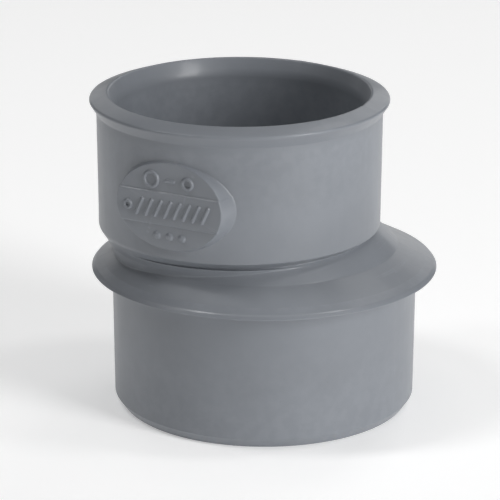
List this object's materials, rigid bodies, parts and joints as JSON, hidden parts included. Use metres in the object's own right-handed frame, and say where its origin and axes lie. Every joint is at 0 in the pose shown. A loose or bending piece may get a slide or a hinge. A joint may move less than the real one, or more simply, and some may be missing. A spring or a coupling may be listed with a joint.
{
  "type": "reducing coupling",
  "caption": "Eccentric pipe reducer: plain spigot below, domed collar, and an offset smaller socket above with a flared rim and an oval badge.",
  "frame": {"origin": "on the spigot's axis at its flat end face, at the centre of the base of the bounding box", "axes": "+Z along the pipe run from the spigot to the socket mouth; the socket's axis is parallel and offset 3.24 mm towards -X; the badge faces -Y and -X"},
  "size_m": [0.0455, 0.0454, 0.042],
  "materials": {
    "grey_pvc": "fine satin injection-moulded surface, slightly bluish mid grey"
  },
  "bodies": {
    "root": {"spigot_lead_in": "grey_pvc", "spigot_wall": "grey_pvc", "flange_collar": "grey_pvc", "reducing_shoulder": "grey_pvc", "pipe_stop": "grey_pvc", "socket_wall": "grey_pvc", "socket_rim": "grey_pvc", "badge_pad": "grey_pvc"}
  },
  "joints": []
}
